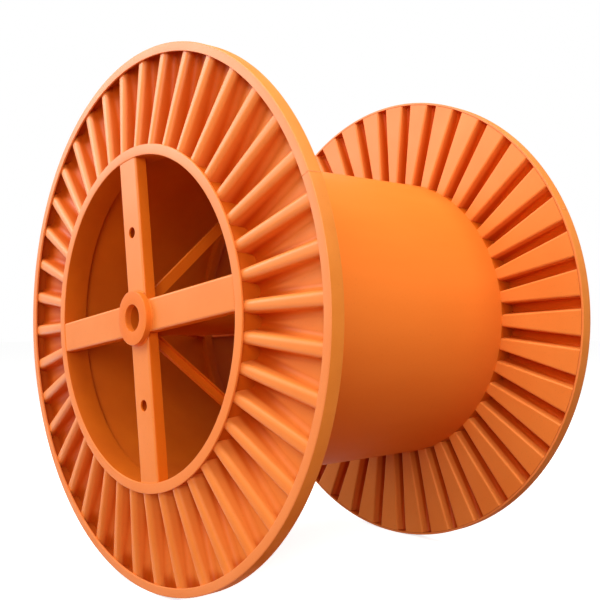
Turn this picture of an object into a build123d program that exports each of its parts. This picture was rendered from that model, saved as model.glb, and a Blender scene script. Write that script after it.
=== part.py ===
"""Corrugated steel cable bobbin: two pressed, ribbed flanges on a welded barrel, in millimetres.

The reel's axis lies along Y at half the flange diameter above the floor, the near flange
is at -Y, and the origin is on the floor under the middle of the barrel.
Each flange is drawn with the reel's axis along Z, its cable side at z = 0 and its outside
towards +Z, then turned into place. The far flange is the near one's mirror image.
"""
from build123d import *
from math import cos, radians, sqrt, tan
import os

# Main sizes of the reel.
flange_diameter = 2000.0
winding_depth = 375.0
inner_width = 1270.0
weld_gap = 0.3

# Rolled angle round each flange's edge.
rim_depth = 52.0
rim_tread_thickness = 10.0
rim_lip_width = 33.0
rim_lip_thickness = 8.0
rim_heel_bevel = 3.0

# Pressed corrugated disc: a flat sheet with radial troughs that get shallower outwards.
sheet_thickness = 4.0
rib_count = 40
first_rib_angle = 3.5
rib_foot_width = 58.0
rib_wall_angle = 8.0
rib_crown_bevel = 13.0

# Rolled angle in each barrel end: its face closes the disc, its sleeve lines the barrel.
collar_sleeve_gap = 14.0
collar_overhang = 10.0
collar_depth = 100.0
collar_height = 90.0
collar_thickness = 8.0

# Barrel and the bar ring that stiffens it half-way along.
barrel_thickness = 6.0
mid_ring_width = 30.0
mid_ring_thickness = 40.0

# Central tube and the discs on its ends.
arbor_bore_diameter = 100.0
axle_tube_diameter = 133.0
hub_disc_diameter = 200.0
hub_disc_thickness = 24.0
hub_edge_bevel = 2.0

# Four channel arms in each end, with drive-pin holes in the upright pair.
arm_names = ("right", "top", "left", "bottom")
pin_arm_names = ("top", "bottom")
arm_angle = 8.0
arm_width = 120.0
arm_depth = 45.0
arm_thickness = 8.0
arm_edge_radius = 9.0
arm_recess = 2.0
pin_circle_diameter = 640.0
pin_hole_diameter = 42.0

# Small channel braces from the tube, inside each arm's channel, to the stiffening ring.
brace_web_width = 40.0
brace_flange_width = 20.0
brace_thickness = 5.0
brace_hub_drop = 54.0

# Places worked out from the sizes above. Levels run outwards from the flange's cable side.
rim_radius = flange_diameter / 2
barrel_radius = rim_radius - winding_depth
barrel_inner_radius = barrel_radius - barrel_thickness
collar_web_radius = barrel_inner_radius - collar_sleeve_gap
collar_bore_radius = collar_web_radius - collar_thickness
collar_lip_radius = barrel_radius + collar_overhang
collar_lip_level = collar_height - collar_thickness
mid_ring_inner_radius = barrel_inner_radius - mid_ring_width
axle_tube_radius = axle_tube_diameter / 2
arm_face_level = collar_height - arm_recess
hub_face_level = arm_face_level + hub_disc_thickness
disc_inner_radius = barrel_radius + weld_gap
disc_outer_radius = rim_radius - rim_tread_thickness - weld_gap
rim_lip_inner_radius = rim_radius - rim_lip_width
rib_crown_level_at_collar = collar_lip_level - weld_gap
rib_crown_level_at_rim = rim_depth - rim_lip_thickness - weld_gap
mid_level = -inner_width / 2


def near(shape):
    """Turn a piece drawn with its outside towards +Z into the near flange's place."""
    return Pos(0, -inner_width / 2, rim_radius) * Rot(90, 0, 0) * shape


def far(shape):
    """The same piece in the far flange: a mirror image across the middle of the barrel."""
    return mirror(near(shape), about=Plane.XZ)


def write(name, shape):
    """Write one piece as its own file."""
    export_step(shape, f"parts/{name}.step")


def section(x_low, x_high, z_low, z_high):
    """A rectangle of a turned piece's section, by radius and level."""
    return Pos(x_low, z_low) * Rectangle(x_high - x_low, z_high - z_low, align=Align.MIN)


def corner_of(sketch, place):
    """The sketch's corner that is nearest the given point."""
    target = Vector(*place)
    return sketch.vertices().sort_by(lambda vertex: (Vector(*vertex) - target).length)[0]


def turned(sketch):
    """Revolve a section round the reel's axis."""
    return revolve(Plane.XZ * sketch, Axis.Z)


def pipe(outer_radius, inner_radius, low, high):
    """A round tube between two levels."""
    return turned(section(inner_radius, outer_radius, low, high))


def rod(radius, low, high):
    """A solid cylinder between two levels."""
    return Pos(0, 0, low) * Cylinder(radius, high - low, align=(Align.CENTER, Align.CENTER, Align.MIN))


def rim_angle():
    """Rolled angle: its tread stands round the disc's edge and its lip points inwards, outside."""
    tread = section(rim_radius - rim_tread_thickness, rim_radius, 0, rim_depth)
    lip = section(rim_lip_inner_radius, rim_radius, rim_depth - rim_lip_thickness, rim_depth)
    angle = tread + lip
    return turned(chamfer(corner_of(angle, (rim_radius, rim_depth)), rim_heel_bevel))


def collar_ring():
    """Rolled angle: its lip sits on the barrel's end, its sleeve stands inside the barrel."""
    sleeve = section(collar_bore_radius, collar_web_radius, collar_height - collar_depth, collar_height)
    face = section(collar_bore_radius, collar_lip_radius, collar_lip_level, collar_height)
    return turned(sleeve + face)


def rib_crown_level(radius):
    """Level of the ribs' crown: it falls evenly from the collar's face to the rim's lip."""
    run = (radius - barrel_radius) / (rim_lip_inner_radius - barrel_radius)
    return rib_crown_level_at_collar + run * (rib_crown_level_at_rim - rib_crown_level_at_collar)


def trough(offset, inner_end, outer_end):
    """One straight tapering trough along X, its surface moved inwards by the offset.

    With no offset it is the pressing's outside, and with the sheet's thickness its groove.
    Both walls lean by the same angle all along, so the crown widens as it comes down.
    """
    slope = tan(radians(rib_wall_angle))
    base = -offset
    foot_level = sheet_thickness - offset
    foot_half = rib_foot_width / 2 - offset / cos(radians(rib_wall_angle)) + offset * slope
    top_half = foot_half - (collar_height - foot_level) * slope
    across = make_face(Polyline(
        (-foot_half, base), (foot_half, base), (foot_half, foot_level), (top_half, collar_height),
        (-top_half, collar_height), (-foot_half, foot_level), close=True))
    start = Plane(origin=(inner_end, 0, 0), x_dir=(0, 1, 0), z_dir=(1, 0, 0))
    along = make_face(Polyline(
        (inner_end, base), (outer_end, base),
        (outer_end, rib_crown_level(outer_end) - offset),
        (inner_end, rib_crown_level(inner_end) - offset), close=True))
    prism = extrude(start * across, outer_end - inner_end)
    form = prism & extrude(Plane.XZ * along, rib_foot_width, both=True)
    crown_edges = form.edges().filter_by(
        lambda edge: edge.length > (outer_end - inner_end) / 2 and edge.center().Z > rim_depth / 2)
    return chamfer(crown_edges, rib_crown_bevel)


def corrugated_disc():
    """Flat ring of sheet with every rib pressed out of it: outsides added, then grooves cut."""
    ring = PolarLocations(0, rib_count, start_angle=first_rib_angle)
    sheet = pipe(disc_outer_radius, disc_inner_radius, 0, sheet_thickness)
    rib_end = sqrt(disc_outer_radius ** 2 - (rib_foot_width / 2) ** 2)
    rib = trough(0, disc_inner_radius, rib_end)
    groove = trough(sheet_thickness, disc_inner_radius - rib_foot_width, rim_radius)
    ribbed = sheet + [place * rib for place in ring]
    return ribbed - [place * groove for place in ring]


def barrel_shell():
    """Rolled shell: it runs through both discs and ends behind the collars' faces."""
    reach = inner_width / 2 + collar_lip_level
    shell = pipe(barrel_radius, barrel_inner_radius, -reach, reach)
    return Pos(0, 0, rim_radius) * Rot(90, 0, 0) * shell


def mid_stiffening_ring():
    """Bar rolled to a ring and welded inside the barrel half-way along."""
    ring = pipe(barrel_inner_radius - weld_gap, mid_ring_inner_radius,
                -mid_ring_thickness / 2, mid_ring_thickness / 2)
    return Pos(0, 0, rim_radius) * Rot(90, 0, 0) * ring


def axle_tube():
    """Thick tube between the backs of the two hub discs, bored for the arbor."""
    reach = inner_width / 2 + arm_face_level
    tube = pipe(axle_tube_radius, arbor_bore_diameter / 2, -reach, reach)
    return Pos(0, 0, rim_radius) * Rot(90, 0, 0) * tube


def hub_disc():
    """Round plate on the arms' faces, bored like the tube behind it, its outer edge bevelled."""
    plate = pipe(hub_disc_diameter / 2, arbor_bore_diameter / 2, arm_face_level, hub_face_level)
    outer_edge = plate.edges().group_by(Axis.Z)[-1].sort_by(SortBy.LENGTH)[-1]
    return chamfer(outer_edge, hub_edge_bevel)


def arm(angle, has_pin_hole):
    """Channel from the tube to the collar, its web flush outside and its legs turned inwards."""
    outside = Rectangle(arm_width, arm_depth, align=(Align.CENTER, Align.MAX))
    outside = fillet(corner_of(outside, (arm_width / 2, 0)), arm_edge_radius)
    outside = fillet(corner_of(outside, (-arm_width / 2, 0)), arm_edge_radius)
    inside = Pos(0, -arm_thickness) * Rectangle(arm_width - 2 * arm_thickness, arm_depth,
                                                align=(Align.CENTER, Align.MAX))
    start = arm_width / 2 + weld_gap
    profile = Plane(origin=(start, 0, arm_face_level), x_dir=(0, 1, 0), z_dir=(1, 0, 0))
    bar = extrude(profile * (outside - inside), collar_bore_radius - start)
    bar = bar & rod(collar_bore_radius - weld_gap, -arm_depth, collar_height)
    bar = bar - rod(axle_tube_radius + weld_gap, -arm_depth, collar_height)
    if has_pin_hole:
        hole = rod(pin_hole_diameter / 2, arm_face_level - 2 * arm_thickness, collar_height)
        bar = bar - Pos(pin_circle_diameter / 2, 0, 0) * hole
    return Rot(0, 0, angle) * bar


def brace(angle):
    """Small channel from the tube to the corner between the middle ring and the barrel."""
    ring_face = mid_level + mid_ring_thickness / 2 + weld_gap
    start = Vector(axle_tube_radius, 0, arm_face_level - brace_hub_drop)
    end = Vector(mid_ring_inner_radius + mid_ring_width / 2, 0, ring_face + brace_web_width / 2)
    run = (end - start).normalized()
    outside = Rectangle(brace_flange_width, brace_web_width)
    inside = Pos(brace_thickness, 0) * Rectangle(brace_flange_width, brace_web_width - 2 * brace_thickness)
    slant = Plane(origin=start - run * brace_web_width, x_dir=(0, 1, 0), z_dir=run)
    bar = extrude(slant * (outside - inside), (end - start).length + 2 * brace_web_width)
    bar = bar & rod(barrel_inner_radius - weld_gap, ring_face, arm_face_level - arm_thickness)
    bar = bar - rod(axle_tube_radius + weld_gap, ring_face, collar_height)
    return Rot(0, 0, angle) * bar


os.makedirs("parts", exist_ok=True)

write("barrel_shell", barrel_shell())
write("mid_stiffening_ring", mid_stiffening_ring())
write("axle_tube", axle_tube())

ring_pieces = {
    "rim_angle": rim_angle(),
    "corrugated_disc": corrugated_disc(),
    "collar_ring": collar_ring(),
    "hub_disc": hub_disc(),
}
for place, name in enumerate(arm_names):
    turn = arm_angle + place * 360 / len(arm_names)
    ring_pieces[f"arm_{name}"] = arm(turn, name in pin_arm_names)
    ring_pieces[f"brace_{name}"] = brace(turn)

for name, shape in ring_pieces.items():
    write(f"near_{name}", near(shape))
    write(f"far_{name}", far(shape))
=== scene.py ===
from math import asin, cos, pi, radians, sin, sqrt, tan
import bmesh
import bpy
from mathutils import Matrix, Vector


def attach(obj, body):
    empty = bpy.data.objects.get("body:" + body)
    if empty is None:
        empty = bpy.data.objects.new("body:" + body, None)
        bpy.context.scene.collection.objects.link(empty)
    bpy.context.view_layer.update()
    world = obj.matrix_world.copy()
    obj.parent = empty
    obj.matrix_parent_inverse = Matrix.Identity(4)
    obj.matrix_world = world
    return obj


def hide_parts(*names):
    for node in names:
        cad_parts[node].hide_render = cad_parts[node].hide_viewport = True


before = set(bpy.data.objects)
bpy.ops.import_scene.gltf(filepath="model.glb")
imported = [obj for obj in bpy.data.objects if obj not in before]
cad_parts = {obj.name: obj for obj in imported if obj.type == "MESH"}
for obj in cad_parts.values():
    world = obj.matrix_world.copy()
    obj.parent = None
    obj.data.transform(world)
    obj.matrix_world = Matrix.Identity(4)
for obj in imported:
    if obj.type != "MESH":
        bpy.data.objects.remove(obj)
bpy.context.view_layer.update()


# Barrel shell: steel plate rolled to a drum and welded along one seam. It passes through
# both flanges and ends behind the collars, and carries the wound cable.
# The whole reel is sprayed with one satin orange enamel.
barrel_radius = 0.625
barrel_plate = 0.006
barrel_edge_round = 0.001
flange_inside = 0.635
collar_face_level = 0.090
collar_plate = 0.008
barrel_end = flange_inside + collar_face_level - collar_plate
axle_height = 1.0
round_steps = 240
sharp_bend = radians(32)
dull_up_to = 0.25
glossy_from = 1.15
speck_colour = (0.30, 0.085, 0.03)


def rounded_outline(corners, steps=4):
    """Closed outline by radius and place along the axle, each corner rounded by its own radius."""
    outline = []
    for number, (across, along, bend) in enumerate(corners):
        corner = Vector((across, along))
        before = Vector(corners[number - 1][:2]) - corner
        after = Vector(corners[(number + 1) % len(corners)][:2]) - corner
        if bend == 0:
            outline.append(corner)
            continue
        half_turn = (pi - before.angle(after)) / 2
        reach = bend * tan(half_turn)
        start = corner + before.normalized() * reach
        end = corner + after.normalized() * reach
        middle = corner + (before.normalized() + after.normalized()).normalized() * bend / cos(half_turn)
        for step in range(steps + 1):
            swing = (start - middle).lerp(end - middle, step / steps)
            outline.append(middle + swing.normalized() * bend)
    return outline


def set_in_reel(name, mesh, stands_for):
    """Make a mesh a smooth piece of the reel, which may stand for CAD nodes."""
    mesh.polygons.foreach_set("use_smooth", [True] * len(mesh.polygons))
    piece = bpy.data.objects.new(name, mesh)
    bpy.context.scene.collection.objects.link(piece)
    if stands_for:
        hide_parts(*stands_for)
    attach(piece, "root")
    return piece


def finished_piece(name, form, paint, stands_for):
    """Write the form to a painted mesh of its own, with its sharp edges kept sharp."""
    mesh = bpy.data.meshes.new(name)
    form.to_mesh(mesh)
    form.free()
    mesh.materials.append(paint)
    piece = set_in_reel(name, mesh, stands_for)
    mesh.set_sharp_from_angle(angle=sharp_bend)
    return piece


def turned_piece(name, outline, paint, stands_for):
    """Turn a closed outline round the axle into a ring, drum or tube."""
    form = bmesh.new()
    rings = []
    for step in range(round_steps):
        turn = 2 * pi * step / round_steps
        rings.append([form.verts.new((across * cos(turn), along, axle_height + across * sin(turn)))
                      for across, along in outline])
    for step, ring in enumerate(rings):
        following = rings[(step + 1) % round_steps]
        for place in range(len(outline)):
            beside = (place + 1) % len(outline)
            form.faces.new((ring[place], ring[beside], following[beside], following[place]))
    bmesh.ops.recalc_face_normals(form, faces=form.faces)
    return finished_piece(name, form, paint, stands_for)


def reach_of(facet):
    """Distance of a facet's middle from the axle."""
    return Vector((facet.center.x, facet.center.z - axle_height)).length


def repaint(piece, paint, chosen):
    """Put another coat on the facets of a piece that a test chooses."""
    piece.data.materials.append(paint)
    for facet in piece.data.polygons:
        if chosen(facet):
            facet.material_index = len(piece.data.materials) - 1


def add_step(recipe, kind, takes, gives=0, **choices):
    """Add a node to the recipe of a paint or a shape, and hand on the output that the next steps use.

    Each input named in takes is set to a value, or linked to what an earlier step gives.
    """
    step = recipe.nodes.new(kind)
    for choice, value in choices.items():
        setattr(step, choice, value)
    for entry, source in takes.items():
        if isinstance(source, bpy.types.NodeSocket):
            recipe.links.new(source, step.inputs[entry])
        else:
            step.inputs[entry].default_value = source
    return step.outputs[gives]


def enamel(name, colour, deep_colour, patches_per_metre, roughness, peel,
           clear_coat=0.12, run_along=1.0, shine=0.14):
    """Satin orange enamel on steel: cloudy colour, uneven gloss, spray grain and soft dents.

    A run_along under 1 draws the patches and dents out along the axle.
    """
    paint = bpy.data.materials.new(name)
    paint.use_nodes = True
    recipe = paint.node_tree
    shader = recipe.nodes["Principled BSDF"]
    shader.inputs["Specular IOR Level"].default_value = shine
    shader.inputs["Coat Roughness"].default_value = 0.42
    place = add_step(recipe, "ShaderNodeTexCoord", {}, gives="Object")
    drawn_out = add_step(recipe, "ShaderNodeMapping", {
        "Vector": place, "Location": (0.0, 0.0, -axle_height), "Scale": (1.0, run_along, 1.0)})

    # Wet ground has dulled the low half.
    height = add_step(recipe, "ShaderNodeSeparateXYZ", {"Vector": place}, gives="Z")
    gloss_left = add_step(recipe, "ShaderNodeMapRange", {
        "Value": height, "From Min": dull_up_to, "From Max": glossy_from,
        "To Min": 0.0, "To Max": clear_coat})
    recipe.links.new(gloss_left, shader.inputs["Coat Weight"])

    clouds = add_step(recipe, "ShaderNodeTexNoise", {
        "Vector": drawn_out, "Scale": patches_per_metre, "Detail": 5.0, "Roughness": 0.55})
    tint = recipe.nodes.new("ShaderNodeValToRGB")
    for number, (position, shade) in enumerate(((0.30, deep_colour), (0.68, colour))):
        tint.color_ramp.elements[number].position = position
        tint.color_ramp.elements[number].color = (*shade, 1)
    recipe.links.new(clouds, tint.inputs["Fac"])
    specks = add_step(recipe, "ShaderNodeTexNoise", {"Vector": place, "Scale": 160.0, "Detail": 2.0})
    speck_strength = add_step(recipe, "ShaderNodeMapRange", {
        "Value": specks, "From Min": 0.62, "From Max": 0.78, "To Max": 0.16})
    specked = add_step(recipe, "ShaderNodeMix", {
        "Factor": speck_strength, "A": tint.outputs["Color"], "B": (*speck_colour, 1)},
        gives="Result", data_type="RGBA")
    recipe.links.new(specked, shader.inputs["Base Color"])
    sheen_patches = add_step(recipe, "ShaderNodeMapRange", {
        "Value": clouds, "From Min": 0.3, "From Max": 0.7,
        "To Min": roughness + 0.07, "To Max": roughness - 0.05})
    recipe.links.new(sheen_patches, shader.inputs["Roughness"])

    dents = add_step(recipe, "ShaderNodeTexNoise", {"Vector": drawn_out, "Scale": 9.0, "Detail": 2.0})
    dented = add_step(recipe, "ShaderNodeBump", {"Height": dents, "Strength": 0.12, "Distance": 0.004})
    grain = add_step(recipe, "ShaderNodeTexNoise", {"Vector": place, "Scale": 240.0, "Detail": 1.0})
    grained = add_step(recipe, "ShaderNodeBump", {
        "Height": grain, "Normal": dented, "Strength": peel, "Distance": 0.0006})
    recipe.links.new(grained, shader.inputs["Normal"])
    return paint


barrel_enamel = enamel("barrel_enamel", (0.82, 0.214, 0.031), (0.77, 0.176, 0.021), patches_per_metre=2.2,
                       roughness=0.50, peel=0.10, clear_coat=0.0, run_along=0.18, shine=0.03)
# Inside enamel: the reel's orange painted deeper, as painted shade inside the drum and behind the collars.
inside_shade_enamel = enamel("inside_shade_enamel", (0.63, 0.132, 0.006), (0.56, 0.104, 0.004), patches_per_metre=4.0,
                      roughness=0.50, peel=0.12, clear_coat=0.0)
barrel = turned_piece("rolled_barrel", rounded_outline([
    (barrel_radius, -barrel_end, barrel_edge_round),
    (barrel_radius, -flange_inside, 0.0), (barrel_radius, flange_inside, 0.0),
    (barrel_radius, barrel_end, barrel_edge_round),
    (barrel_radius - barrel_plate, barrel_end, barrel_edge_round),
    (barrel_radius - barrel_plate, -barrel_end, barrel_edge_round),
], steps=2), barrel_enamel, ["barrel_shell"])
# The inside and the ends between the ribs take the deeper inside enamel: painted shade.
repaint(barrel, inside_shade_enamel, lambda facet: (
    reach_of(facet) < barrel_radius - barrel_plate / 2 or abs(facet.center.y) > flange_inside))


# Inside the barrel: a heavy bar rolled to a ring and welded half-way along, which keeps the
# drum round, and the thick central tube that the arbor passes through.
ring_inner_radius = 0.589
ring_outer_radius = 0.6187
ring_half_width = 0.020
ring_edge_round = 0.002
tube_radius = 0.0665
bore_radius = 0.050
arm_face_level = 0.088
tube_end = flange_inside + arm_face_level

# The ring and the tube take the deeper inside enamel: painted shade.
turned_piece("stiffening_ring", rounded_outline([
    (ring_outer_radius, -ring_half_width, 0.0), (ring_outer_radius, ring_half_width, 0.0),
    (ring_inner_radius, ring_half_width, ring_edge_round),
    (ring_inner_radius, -ring_half_width, ring_edge_round),
], steps=3), inside_shade_enamel, ["mid_stiffening_ring"])
turned_piece("central_tube", rounded_outline([
    (tube_radius, -tube_end, 0.0), (tube_radius, tube_end, 0.0),
    (bore_radius, tube_end, 0.0), (bore_radius, -tube_end, 0.0),
]), inside_shade_enamel, ["axle_tube"])


# Braces: lengths of small steel channel, cut to fit and welded from the central tube,
# behind each arm, to the corner between the stiffening ring and the barrel.
ends = {"near": -1, "far": 1}
arm_sides = ("right", "top", "left", "bottom")
channel_edge = 0.0012
channel_corner = radians(40)
same_point = 0.00001
same_plane = radians(0.5)
# The brace enamel also paints the arms' sides deeper, as painted shade.
brace_and_shaded_side_enamel = enamel("brace_and_shaded_side_enamel", (0.84, 0.190, 0.010), (0.79, 0.155, 0.006), patches_per_metre=4.0,
                      roughness=0.46, peel=0.12)


def softened_copy(name, node, paint):
    """The cut channel's own shape with its sharp edges broken, as a grinder leaves them."""
    form = bmesh.new()
    form.from_mesh(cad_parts[node].data)
    bmesh.ops.remove_doubles(form, verts=form.verts, dist=same_point)
    bmesh.ops.dissolve_limit(form, angle_limit=same_plane, verts=form.verts, edges=form.edges)
    piece = finished_piece(name, form, paint, [node])
    broken_edge = piece.modifiers.new("broken edge", "BEVEL")
    broken_edge.width = channel_edge
    broken_edge.segments = 2
    broken_edge.limit_method = "ANGLE"
    broken_edge.angle_limit = channel_corner
    broken_edge.harden_normals = True
    return piece


for end_name in ends:
    for side in arm_sides:
        softened_copy(f"{end_name}_channel_brace_{side}", f"{end_name}_brace_{side}",
                      brace_and_shaded_side_enamel)


# Flange discs: one sheet of 4 mm steel for each flange, pressed into forty hollow radial
# troughs that are deep at the barrel and shallow at the rim. The press leaves every bend
# round: a tight crown, a leaning wall and a softer foot where it runs into the flat sheet.
rib_count = 40
first_rib_angle = radians(3.5)
sheet = 0.004
disc_inner_radius = 0.6253
disc_outer_radius = 0.9897
rim_lip_inner_radius = 0.967
rib_foot_half = 0.029
rib_wall_lean = radians(8)
crown_at_barrel = 0.0817
crown_at_rim = 0.0437
crown_bend = 0.018
foot_bend = 0.021
groove_lip_bend = 0.008
bend_steps = 6
bend_strip = 0.06
stations = 26
join_within = 0.00005
sheet_corner = radians(50)


def run_to_rim(reach):
    """Share of the way from the barrel to the rim's lip."""
    return (reach - barrel_radius) / (rim_lip_inner_radius - barrel_radius)


def crown_level(reach):
    """Height of a rib above the flange's cable side at a distance from the axle."""
    return crown_at_barrel + run_to_rim(reach) * (crown_at_rim - crown_at_barrel)


def rib_section(reach, inner_face):
    """Half a rib from its crown to the middle of the flat, by place sideways and level."""
    crown = crown_level(reach)
    lean = tan(rib_wall_lean)
    crown_half = rib_foot_half - (crown - sheet) * lean
    corner = pi / 2 - rib_wall_lean
    crown_flat_half = crown_half - crown_bend * tan(corner / 2)
    shrink = sheet if inner_face else 0.0
    foot_round = groove_lip_bend if inner_face else foot_bend
    foot_corner = rib_foot_half + shrink * (lean - 1 / cos(rib_wall_lean))
    foot_reach = foot_round * tan(corner / 2)
    section = [(0.0, crown - shrink)]
    for step in range(bend_steps + 1):
        turn = corner * step / bend_steps
        section.append((crown_flat_half + (crown_bend - shrink) * sin(turn),
                        crown - crown_bend + (crown_bend - shrink) * cos(turn)))
    for step in range(bend_steps + 1):
        turn = corner * (1 - step / bend_steps)
        section.append((foot_corner + foot_reach - foot_round * sin(turn),
                        sheet - shrink + foot_round - foot_round * cos(turn)))
    # A narrow strip beside each bend keeps the wall and the flat plain in the shading.
    (wall_top, wall_high), (wall_foot, wall_low) = section[bend_steps + 1:bend_steps + 3]
    section[bend_steps + 2:bend_steps + 2] = [
        (wall_top + (wall_foot - wall_top) * share, wall_high + (wall_low - wall_high) * share)
        for share in (bend_strip, 1 - bend_strip)]
    edge = reach * sin(pi / rib_count)
    last = section[-1][0]
    section += [(last + (edge - last) * share, sheet - shrink) for share in (bend_strip, 1.0)]
    return section


# How pale the disc is painted at its crowns, valleys and flats: painted light and shade.
flat_painted_light = 0.5
crown_painted_light = 0.6
crown_painted_light_fall = 2.5
valley_painted_light = 0.27
valley_opening = 1.6
lip_shelter = 8.0
rib_foot_share = 0.5


def painted_light_on_section(reach, section, inner_face):
    """How pale each point of half a rib is painted, where about a half gives the full colour: painted light
    and shade.

    On the cable side the flat is painted palest and the groove darkest, as painted shade. Outside, the crowns
    are painted palest, as a painted highlight, and a valley paler where it widens towards the rim than beside
    the barrel or under the lip, where it is painted shade.
    """
    if inner_face:
        return [flat_painted_light - level / (crown_at_barrel - sheet) for sideways, level in section]
    run = run_to_rim(reach)
    valley_middle = valley_painted_light * min(valley_opening * run, 1.0, lip_shelter * (1 - run))
    rise = crown_level(reach) - sheet
    caught = [max(crown_painted_light * (max(level - sheet, 0.0) / rise) ** crown_painted_light_fall,
                  rib_foot_share * valley_middle) for sideways, level in section[:-1]]
    return [*caught, valley_middle]


def pressed_rib(name, end):
    """One rib with half of the flat on either side of it, both faces, about the axle."""
    form = bmesh.new()
    # Each point keeps how pale it is painted, as painted light and shade.
    painted_light_layer = form.verts.layers.float.new("painted_light_and_gloss")
    faces = {}
    for inner_face in (False, True):
        rows = []
        for station in range(stations + 1):
            reach = disc_inner_radius + (disc_outer_radius - disc_inner_radius) * station / stations
            section = rib_section(reach, inner_face)
            half = [(*point, share) for point, share
                    in zip(section, painted_light_on_section(reach, section, inner_face))]
            whole = [(-sideways, level, share) for sideways, level, share in reversed(half[1:])] + half
            row = []
            for sideways, level, share in whole:
                along = sqrt(reach ** 2 - sideways ** 2)
                vertex = form.verts.new((along * cos(first_rib_angle) - sideways * sin(first_rib_angle),
                                         end * (flange_inside + level),
                                         along * sin(first_rib_angle) + sideways * cos(first_rib_angle)))
                vertex[painted_light_layer] = share
                row.append(vertex)
            rows.append(row)
        faces[inner_face] = rows
    outside, inside = faces[False], faces[True]
    turned_over = end > 0

    def quad(a, b, c, d):
        form.faces.new((a, b, c, d) if turned_over else (d, c, b, a))

    for station in range(stations):
        for place in range(len(outside[0]) - 1):
            quad(outside[station][place], outside[station][place + 1],
                 outside[station + 1][place + 1], outside[station + 1][place])
            quad(inside[station + 1][place], inside[station + 1][place + 1],
                 inside[station][place + 1], inside[station][place])
    for place in range(len(outside[0]) - 1):
        quad(inside[0][place], inside[0][place + 1], outside[0][place + 1], outside[0][place])
        quad(outside[-1][place], outside[-1][place + 1], inside[-1][place + 1], inside[-1][place])
    mesh = bpy.data.meshes.new(name)
    form.to_mesh(mesh)
    form.free()
    return mesh


def shape_recipe(name, inputs, result):
    """Start a Geometry Nodes tree with named inputs and one result."""
    recipe = bpy.data.node_groups.new(name, "GeometryNodeTree")
    for label, kind in inputs.items():
        recipe.interface.new_socket(label, in_out="INPUT", socket_type=f"NodeSocket{kind}")
    recipe.interface.new_socket(result, in_out="OUTPUT", socket_type="NodeSocketGeometry")
    recipe.nodes.new("NodeGroupInput").name = "given"
    recipe.nodes.new("NodeGroupOutput").name = "made"
    return recipe


def copies_round_axle(recipe, number_input, one_copy):
    """Set copies of a shape evenly round the axle, as real geometry."""
    given = recipe.nodes["given"].outputs
    middle = add_step(recipe, "ShaderNodeCombineXYZ", {"Z": given["Height of the axle"]})
    centres = add_step(recipe, "GeometryNodePoints", {"Count": given[number_input], "Position": middle})
    which = add_step(recipe, "GeometryNodeInputIndex", {})
    share_of_turn = add_step(recipe, "ShaderNodeMath", {0: which, 1: given[number_input]}, operation="DIVIDE")
    angle = add_step(recipe, "ShaderNodeMath", {0: share_of_turn, 1: 2 * pi}, operation="MULTIPLY")
    turn = add_step(recipe, "ShaderNodeCombineXYZ", {"Y": angle})
    copies = add_step(recipe, "GeometryNodeInstanceOnPoints", {
        "Points": centres, "Instance": one_copy, "Rotation": turn})
    return add_step(recipe, "GeometryNodeRealizeInstances", {"Geometry": copies})


def end_recipe(recipe, shape):
    """Paint the shape and give it as the recipe's result."""
    painted = add_step(recipe, "GeometryNodeSetMaterial", {
        "Geometry": shape, "Material": recipe.nodes["given"].outputs["Finish"]})
    recipe.links.new(painted, recipe.nodes["made"].inputs[0])


ring_of_ribs = shape_recipe("ring_of_ribs", {
    "Rib": "Geometry", "Number of ribs": "Int", "Height of the axle": "Float",
    "Join within": "Float", "Finish": "Material"}, "Disc")
ring_given = ring_of_ribs.nodes["given"].outputs
ring = copies_round_axle(ring_of_ribs, "Number of ribs", ring_given["Rib"])
end_recipe(ring_of_ribs, add_step(ring_of_ribs, "GeometryNodeMergeByDistance", {
    "Geometry": ring, "Distance": ring_given["Join within"]}))

# Painted light and shade: the ribs' crowns and the flat on the cable side keep the full colour as painted
# highlight; the valleys and the grooves are multiplied to a deeper colour as painted shade, and have less
# gloss.
painted_light_side = (0.8, 0.0, -0.6)
painted_shade_tint = (0.70, 0.36, 0.09)
disc_enamel = enamel("disc_enamel", (0.86, 0.262, 0.050), (0.82, 0.228, 0.038), patches_per_metre=3.2,
                     roughness=0.42, peel=0.10, clear_coat=0.60)
disc_recipe = disc_enamel.node_tree
disc_shader = disc_recipe.nodes["Principled BSDF"]
unshaded_colour = disc_shader.inputs["Base Color"].links[0].from_socket
full_gloss = disc_shader.inputs["Coat Weight"].links[0].from_socket
painted_light_and_gloss = add_step(disc_recipe, "ShaderNodeAttribute", {}, gives="Fac", attribute_name="painted_light_and_gloss")
# Painted light: the valleys low on the right are painted paler than those on the far side of the axle.
disc_place = add_step(disc_recipe, "ShaderNodeTexCoord", {}, gives="Object")
towards_gun = add_step(disc_recipe, "ShaderNodeVectorMath", {0: disc_place, 1: painted_light_side},
                       gives="Value", operation="DOT_PRODUCT")
side_painted_light = add_step(disc_recipe, "ShaderNodeMapRange", {
    "Value": towards_gun, "From Min": -0.9, "From Max": 0.0, "To Min": 0.7, "To Max": 2.4})
painted_light_here = add_step(disc_recipe, "ShaderNodeMath", {0: painted_light_and_gloss, 1: side_painted_light}, operation="MULTIPLY")
painted_shade_amount = add_step(disc_recipe, "ShaderNodeMapRange", {
    "Value": painted_light_here, "From Min": 0.02, "From Max": 0.44, "To Min": 1.0, "To Max": 0.0},
    interpolation_type="SMOOTHSTEP")
painted_shade_colour = add_step(disc_recipe, "ShaderNodeMix", {
    "Factor": painted_shade_amount, "A": unshaded_colour, "B": (*painted_shade_tint, 1)},
    gives="Result", data_type="RGBA", blend_type="MULTIPLY")
disc_recipe.links.new(painted_shade_colour, disc_shader.inputs["Base Color"])
gloss_share = add_step(disc_recipe, "ShaderNodeMapRange", {
    "Value": painted_light_and_gloss, "From Min": 0.05, "From Max": 0.60, "To Min": 0.0, "To Max": 1.0})
disc_gloss = add_step(disc_recipe, "ShaderNodeMath", {0: gloss_share, 1: full_gloss}, operation="MULTIPLY")
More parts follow.
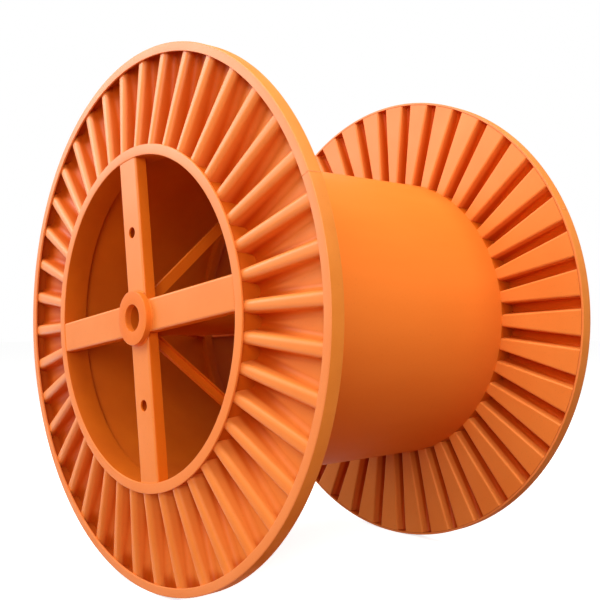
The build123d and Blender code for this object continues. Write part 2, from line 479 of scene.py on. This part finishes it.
disc_recipe.links.new(disc_gloss, disc_shader.inputs["Coat Weight"])


def made_real(name, worker, stands_for):
    """Turn what a worker object shows into a plain mesh of its own and set it in the reel."""
    bpy.context.view_layer.update()
    mesh = bpy.data.meshes.new_from_object(worker.evaluated_get(bpy.context.evaluated_depsgraph_get()))
    mesh.name = name
    bpy.data.objects.remove(worker)
    return set_in_reel(name, mesh, stands_for)


def made_by_recipe(name, recipe, mesh, settings, stands_for):
    """Run a shape recipe on a mesh and set the result in the reel; settings are listed by input."""
    worker = bpy.data.objects.new(f"{name}_worker", mesh)
    bpy.context.scene.collection.objects.link(worker)
    run = worker.modifiers.new(recipe.name, "NODES")
    run.node_group = recipe
    for entry in recipe.interface.items_tree:
        if entry.name in settings:
            run[entry.identifier] = settings[entry.name]
    return made_real(name, worker, stands_for)


for end_name, end in ends.items():
    disc = made_by_recipe(f"{end_name}_pressed_disc", ring_of_ribs, pressed_rib(f"{end_name}_rib", end), {
        "Number of ribs": rib_count, "Height of the axle": axle_height,
        "Join within": join_within, "Finish": disc_enamel,
    }, [f"{end_name}_corrugated_disc"])
    disc.data.set_sharp_from_angle(angle=sheet_corner)


# Rims: steel angle rolled to a hoop round each disc. The tread stands round the sheet's edge
# and rolls on the floor, and the lip points inwards over the ends of the ribs.
rim_radius = 1.0
rim_depth = 0.052
tread_plate = 0.010
lip_plate = 0.008
heel_round = 0.0035
lip_round = 0.002
rolled_edge = 0.0015
rubbed_depth = 0.0006
lip_back_margin = 0.0002
pocket_share = 0.6
pocket_depth = rim_depth - lip_plate + lip_back_margin
pocket_radius = rim_radius - pocket_share * tread_plate

rim_enamel = enamel("rim_enamel", (0.84, 0.270, 0.072), (0.80, 0.238, 0.058), patches_per_metre=3.0,
                    roughness=0.42, peel=0.12, clear_coat=0.50)
# The pocket enamel is painted darker, as painted shade under the lip.
pocket_shade_enamel = enamel("pocket_shade_enamel", (0.52, 0.100, 0.006), (0.44, 0.075, 0.004), patches_per_metre=8.0,
                       roughness=0.60, peel=0.20, clear_coat=0.0)
tread_enamel = enamel("tread_enamel", (0.70, 0.228, 0.032), (0.64, 0.196, 0.024), patches_per_metre=7.0,
                      roughness=0.62, peel=0.30, clear_coat=0.30, shine=0.03)
for end_name, end in ends.items():
    tread_start = end * flange_inside
    lip_face = end * (flange_inside + rim_depth)
    lip_back = end * (flange_inside + rim_depth - lip_plate)
    rim = turned_piece(f"{end_name}_rolled_rim", rounded_outline([
        (rim_radius, tread_start, rolled_edge), (rim_radius, lip_face, heel_round),
        (rim_lip_inner_radius, lip_face, lip_round), (rim_lip_inner_radius, lip_back, rolled_edge),
        (rim_radius - tread_plate, lip_back, 0.0), (rim_radius - tread_plate, tread_start, rolled_edge),
    ]), rim_enamel, [f"{end_name}_rim_angle"])
    # Rolling over the ground rubs the tread dull, and the pocket under the lip is painted darker, as painted
    # shade.
    repaint(rim, tread_enamel, lambda facet: reach_of(facet) > rim_radius - rubbed_depth)
    repaint(rim, pocket_shade_enamel, lambda facet: (
        abs(facet.center.y) - flange_inside < pocket_depth and reach_of(facet) < pocket_radius))


# Collars: steel angle rolled to a ring for each end of the barrel. Its face covers the
# barrel's end and the ribs' deep ends, and its sleeve stands a little inside the barrel.
collar_bore = 0.597
collar_web = 0.605
collar_lip = 0.635
collar_depth = 0.100
collar_lip_round = 0.002
collar_bore_round = 0.0025

collar_enamel = enamel("collar_enamel", (0.85, 0.250, 0.048), (0.81, 0.220, 0.038), patches_per_metre=3.4,
                       roughness=0.42, peel=0.10, clear_coat=0.50)
for end_name, end in ends.items():
    face = end * (flange_inside + collar_face_level)
    back = end * barrel_end
    sleeve_end = end * (flange_inside + collar_face_level - collar_depth)
    collar = turned_piece(f"{end_name}_rolled_collar", rounded_outline([
        (collar_lip, back, rolled_edge), (collar_lip, face, collar_lip_round),
        (collar_bore, face, collar_bore_round), (collar_bore, sleeve_end, rolled_edge),
        (collar_web, sleeve_end, rolled_edge), (collar_web, back, 0.0),
    ]), collar_enamel, [f"{end_name}_collar_ring"])
    # Only the face looks out of the reel: the sleeve takes the deeper inside enamel, painted shade.
    repaint(collar, inside_shade_enamel, lambda facet: abs(facet.center.y) < barrel_end)


# Arms: four lengths of rolled channel in each end, webs outwards, welded to the collar's
# bore and to the central tube. The upright pair is bored for a drive pin.
arm_enamel = enamel("arm_enamel", (0.85, 0.255, 0.048), (0.81, 0.225, 0.038), patches_per_metre=4.0,
                    roughness=0.42, peel=0.11, clear_coat=0.40)
web_faces_out = 0.5
for end_name in ends:
    for side in arm_sides:
        arm = softened_copy(f"{end_name}_channel_arm_{side}", f"{end_name}_arm_{side}",
                            arm_enamel)
        # The channel's webs look out of the reel; its sides take the deeper brace enamel as painted shade.
        repaint(arm, brace_and_shaded_side_enamel, lambda facet: abs(facet.normal.y) < web_faces_out)


# Hub discs: a turned steel disc on the crossing of the arms in each end, bored in line
# with the central tube, its outer edge bevelled.
hub_radius = 0.100
hub_plate = 0.024
hub_bevel = 0.002
hub_bore_round = 0.001

hub_enamel = enamel("hub_enamel", (0.85, 0.215, 0.026), (0.80, 0.180, 0.018), patches_per_metre=6.0,
                    roughness=0.34, peel=0.10)
for end_name, end in ends.items():
    back = end * (flange_inside + arm_face_level)
    face = end * (flange_inside + arm_face_level + hub_plate)
    turned_piece(f"{end_name}_turned_hub", rounded_outline([
        (hub_radius, back, 0.0), (hub_radius, face, hub_bevel),
        (bore_radius, face, hub_bore_round), (bore_radius, back, 0.0),
    ]), hub_enamel, [f"{end_name}_hub_disc"])


# Weld runs: rounded beads laid by hand, with the ripple of each pool, along the joints that
# show: hub disc to arms, arm ends to collar, and disc to barrel between the grooves.
arm_first_angle = radians(8.0)
arm_count = len(arm_sides)
arm_half_width = 0.060
rib_step = 2 * pi / rib_count
hub_run_trim = 0.03
arm_run_trim = 0.004
flat_run_trim = 0.010
hub_bead = 0.0040
arm_bead = 0.0032
barrel_bead = 0.0030
pool_length = 0.0085
bead_step = 0.0016
bead_sides = 8
line_points = 48

weld_enamel = enamel("weld_enamel", (0.84, 0.215, 0.022), (0.78, 0.175, 0.014), patches_per_metre=12.0,
                     roughness=0.46, peel=0.12)
weld_runs = shape_recipe("weld_runs_round_the_axle", {
    "Number of runs": "Int", "Radius of the joint": "Float", "Level along the axle": "Float",
    "First angle": "Float", "Length in angle": "Float", "Half thickness": "Float",
    "Ripple length": "Float", "Height of the axle": "Float", "Finish": "Material"}, "Beads")
weld_given = weld_runs.nodes["given"].outputs
joint_arc = add_step(weld_runs, "GeometryNodeCurveArc", {
    "Resolution": line_points, "Radius": weld_given["Radius of the joint"],
    "Start Angle": weld_given["First angle"], "Sweep Angle": weld_given["Length in angle"]})
line_level = add_step(weld_runs, "ShaderNodeCombineXYZ", {"Y": weld_given["Level along the axle"]})
joint_line = add_step(weld_runs, "GeometryNodeTransform", {
    "Geometry": joint_arc, "Translation": line_level, "Rotation": (pi / 2, 0.0, 0.0)})
fine_line = add_step(weld_runs, "GeometryNodeResampleCurve", {
    "Curve": joint_line, "Length": bead_step}, mode="LENGTH")
along_line = add_step(weld_runs, "GeometryNodeSplineParameter", {}, gives="Length")
pools = add_step(weld_runs, "ShaderNodeMath", {0: along_line, 1: weld_given["Ripple length"]},
                 operation="DIVIDE")
pool_wave = add_step(weld_runs, "ShaderNodeMath", {0: pools, 1: 0.5}, operation="PINGPONG")
pool_swell = add_step(weld_runs, "ShaderNodeMapRange", {
    "Value": pool_wave, "From Max": 0.5, "To Min": 0.86, "To Max": 1.06})
bead_section = add_step(weld_runs, "GeometryNodeCurvePrimitiveCircle", {
    "Resolution": bead_sides, "Radius": weld_given["Half thickness"]})
bead = add_step(weld_runs, "GeometryNodeCurveToMesh", {
    "Curve": fine_line, "Profile Curve": bead_section, "Scale": pool_swell, "Fill Caps": True})
end_recipe(weld_runs, copies_round_axle(weld_runs, "Number of runs", bead))


def lay_welds(name, runs, radius, along, middle, half, thickness):
    """Lay equal beads round the axle; middle and half give the first one's place and length in angle."""
    made_by_recipe(name, weld_runs, bpy.data.meshes.new(f"{name}_line"), {
        "Number of runs": runs, "Radius of the joint": radius, "Level along the axle": along,
        "First angle": middle - half, "Length in angle": 2 * half, "Half thickness": thickness,
        "Ripple length": pool_length, "Height of the axle": axle_height, "Finish": weld_enamel,
    }, [])


for end_name, end in ends.items():
    lay_welds(f"{end_name}_hub_welds", arm_count, hub_radius,
              end * (flange_inside + arm_face_level), arm_first_angle,
              asin(arm_half_width / hub_radius) - hub_run_trim, hub_bead)
    lay_welds(f"{end_name}_arm_end_welds", arm_count, collar_bore,
              end * (flange_inside + (arm_face_level - channel_edge)), arm_first_angle,
              asin(arm_half_width / collar_bore) - arm_run_trim, arm_bead)
    lay_welds(f"{end_name}_barrel_welds", rib_count, barrel_radius,
              end * flange_inside, first_rib_angle + rib_step / 2,
              rib_step / 2 - asin(rib_foot_half / barrel_radius) - flat_run_trim, barrel_bead)


# Rim joints: each rim's angle is closed to a hoop by one butt weld, which runs over the tread,
# the heel and the lip and is ground nearly flush.
rim_joint_angle = radians(25.5)
rim_joint_half = 0.0011
rim_joint_start = 0.003
rim_joint_end = 0.002
heel_steps = 4
for end_name, end in ends.items():
    heel = [(rim_radius - heel_round * (1 - cos(turn)), rim_depth - heel_round * (1 - sin(turn)))
            for turn in (pi / 2 * step / heel_steps for step in range(heel_steps + 1))]
    seam_line = [(rim_radius, rim_joint_start), *heel, (rim_lip_inner_radius + rim_joint_end, rim_depth)]
    rim_seam = bpy.data.curves.new(f"{end_name}_rim_joint", "CURVE")
    rim_seam.dimensions = "3D"
    rim_seam.bevel_depth = rim_joint_half
    rim_seam.bevel_resolution = 2
    rim_seam.use_fill_caps = True
    rim_seam.materials.append(rim_enamel)
    spline = rim_seam.splines.new("POLY")
    spline.points.add(len(seam_line) - 1)
    for point, (across, along) in zip(spline.points, seam_line):
        point.co = (across * cos(rim_joint_angle), end * (flange_inside + along),
                    axle_height + across * sin(rim_joint_angle), 1)
    worker = bpy.data.objects.new(f"{end_name}_rim_joint", rim_seam)
    bpy.context.scene.collection.objects.link(worker)
    made_real(f"{end_name}_rim_weld", worker, [])


# The room: a plain pale floor under soft studio lamps, with a white background. Rays that
# carry light find a darker floor and sky than the camera, a gloss or a glass does.
floor_half = 30
floor_gap = 0.0008


def rays_that_show(recipe):
    """1 where the camera looks, directly, in a gloss or through glass; 0 for rays that carry light."""
    rays = recipe.nodes.new("ShaderNodeLightPath").outputs
    mirrored = add_step(recipe, "ShaderNodeMath", {
        0: rays["Is Glossy Ray"], 1: rays["Is Transmission Ray"]}, operation="MAXIMUM")
    return add_step(recipe, "ShaderNodeMath", {0: rays["Is Camera Ray"], 1: mirrored}, operation="MAXIMUM")


floor_mesh = bpy.data.meshes.new("floor")
floor_form = bmesh.new()
floor_form.faces.new([floor_form.verts.new((x * floor_half, y * floor_half, -floor_gap))
                      for x, y in ((-1, -1), (1, -1), (1, 1), (-1, 1))])
floor_form.to_mesh(floor_mesh)
floor_form.free()
floor = bpy.data.objects.new("floor", floor_mesh)
bpy.context.scene.collection.objects.link(floor)
floor_finish = bpy.data.materials.new("floor_finish")
floor_finish.use_nodes = True
floor_recipe = floor_finish.node_tree
floor_recipe.nodes.clear()
floor_for_light = add_step(floor_recipe, "ShaderNodeBsdfDiffuse", {"Color": (0.32, 0.14, 0.06, 1)})
floor_pale = add_step(floor_recipe, "ShaderNodeBsdfDiffuse", {"Color": (0.9, 0.9, 0.9, 1)})
floor_glow = add_step(floor_recipe, "ShaderNodeEmission", {"Color": (1, 1, 1, 1), "Strength": 0.76})
floor_for_eye = add_step(floor_recipe, "ShaderNodeAddShader", {0: floor_pale, 1: floor_glow})
floor_surface = add_step(floor_recipe, "ShaderNodeMixShader", {
    "Fac": rays_that_show(floor_recipe), 1: floor_for_light, 2: floor_for_eye})
floor_output = floor_recipe.nodes.new("ShaderNodeOutputMaterial")
floor_recipe.links.new(floor_surface, floor_output.inputs["Surface"])
floor_mesh.materials.append(floor_finish)


def soft_lamp(name, place, aim, width, power, colour):
    """A square soft box that points at a place."""
    lamp_data = bpy.data.lights.new(name, "AREA")
    lamp_data.size = width
    lamp_data.energy = power
    lamp_data.color = colour
    lamp = bpy.data.objects.new(name, lamp_data)
    lamp.matrix_world = (Matrix.Translation(place)
                         @ (Vector(aim) - Vector(place)).to_track_quat("-Z", "Y").to_matrix().to_4x4())
    bpy.context.scene.collection.objects.link(lamp)


soft_lamp("front_lamp", place=(-0.6, -3.4, 6.3), aim=(0.0, 0.0, 1.0), width=3.8, power=235,
          colour=(1.0, 0.98, 0.95))
soft_lamp("top_lamp", place=(3.2, 0.3, 5.2), aim=(0.3, 0.0, 1.2), width=4.0, power=260,
          colour=(1.0, 0.95, 0.86))
soft_lamp("left_lamp", place=(-4.4, -4.0, 3.6), aim=(0.0, -0.6, 1.0), width=3.0, power=170,
          colour=(1.0, 0.98, 0.96))
soft_lamp("right_lamp", place=(4.2, -4.6, 2.8), aim=(0.0, -0.4, 1.1), width=3.0, power=165,
          colour=(1.0, 0.96, 0.90))

room = bpy.data.worlds.new("room")
bpy.context.scene.world = room
room.use_nodes = True
room_light = room.node_tree.nodes["Background"]
room_light.inputs["Color"].default_value = (1, 1, 1, 1)
room_strength = add_step(room.node_tree, "ShaderNodeMapRange", {
    "Value": rays_that_show(room.node_tree), "To Min": 0.24, "To Max": 1.0})
room.node_tree.links.new(room_strength, room_light.inputs["Strength"])

# The camera stands in front of the near end, to its right, at the height of the axle.
camera_place = Vector((2.7463, -2.3215, 1.0061))
camera_turn = 49.002
camera_tilt = 0.988
frame_width = 600
middle_row = 301.8
focal_pixels = 851.05
sensor_width = 36
camera_data = bpy.data.cameras.new("camera")
camera_data.sensor_width = sensor_width
camera_data.lens = focal_pixels / frame_width * sensor_width
camera_data.shift_y = (middle_row - frame_width / 2) / frame_width
camera = bpy.data.objects.new("camera", camera_data)
camera.matrix_world = (Matrix.Translation(camera_place) @ Matrix.Rotation(radians(camera_turn), 4, "Z")
                       @ Matrix.Rotation(radians(90 + camera_tilt), 4, "X"))
bpy.context.scene.collection.objects.link(camera)
bpy.context.scene.camera = camera
bpy.context.scene.view_settings.view_transform = "Standard"
